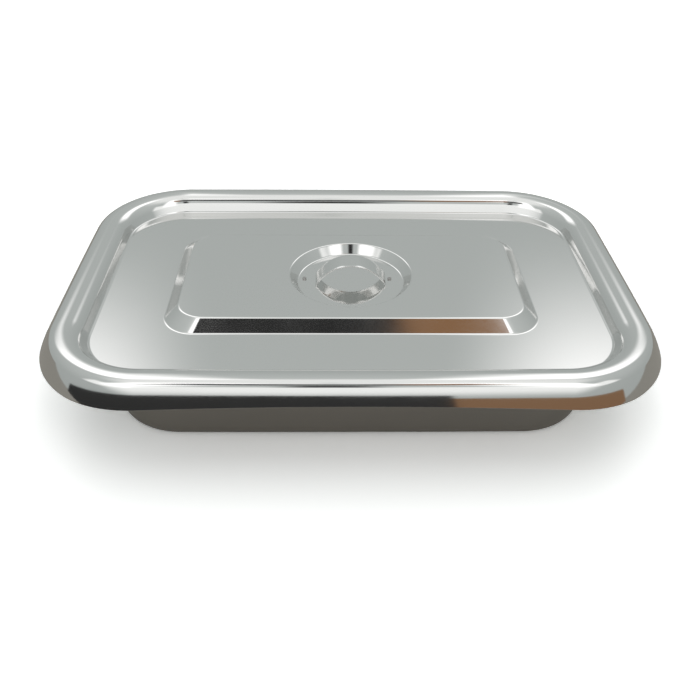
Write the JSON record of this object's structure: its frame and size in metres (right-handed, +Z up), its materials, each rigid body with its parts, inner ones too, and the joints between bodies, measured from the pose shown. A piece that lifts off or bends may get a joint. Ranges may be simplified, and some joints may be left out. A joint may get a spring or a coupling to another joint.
{
  "type": "instrument tray",
  "caption": "Deep-drawn rectangular tray with a nesting lid that has a rolled bead, a raised field and a strap handle in a round dish.",
  "frame": {"origin": "centre of the pan's base, on the surface that the tray stands on", "axes": "+X along the long side, +Y away from the viewer across the tray, +Z up, the way the lid lifts off"},
  "size_m": [0.3124, 0.2142, 0.0582],
  "materials": {
    "pan_steel": "polished stainless sheet",
    "lid_steel": "polished stainless sheet",
    "handle_steel": "polished stainless strip",
    "weld_steel": "dull pressed weld marks"
  },
  "bodies": {
    "pan": {"tray_pan": "pan_steel"},
    "lid": {"lid_shell": "lid_steel", "handle_strap": "handle_steel", "spot_welds": "weld_steel"}
  },
  "joints": [
    {"name": "lid_lift", "type": "slide", "parent": "pan", "child": "lid", "axis": [0, 0, 1], "range_m": [0, 0.08]}
  ]
}
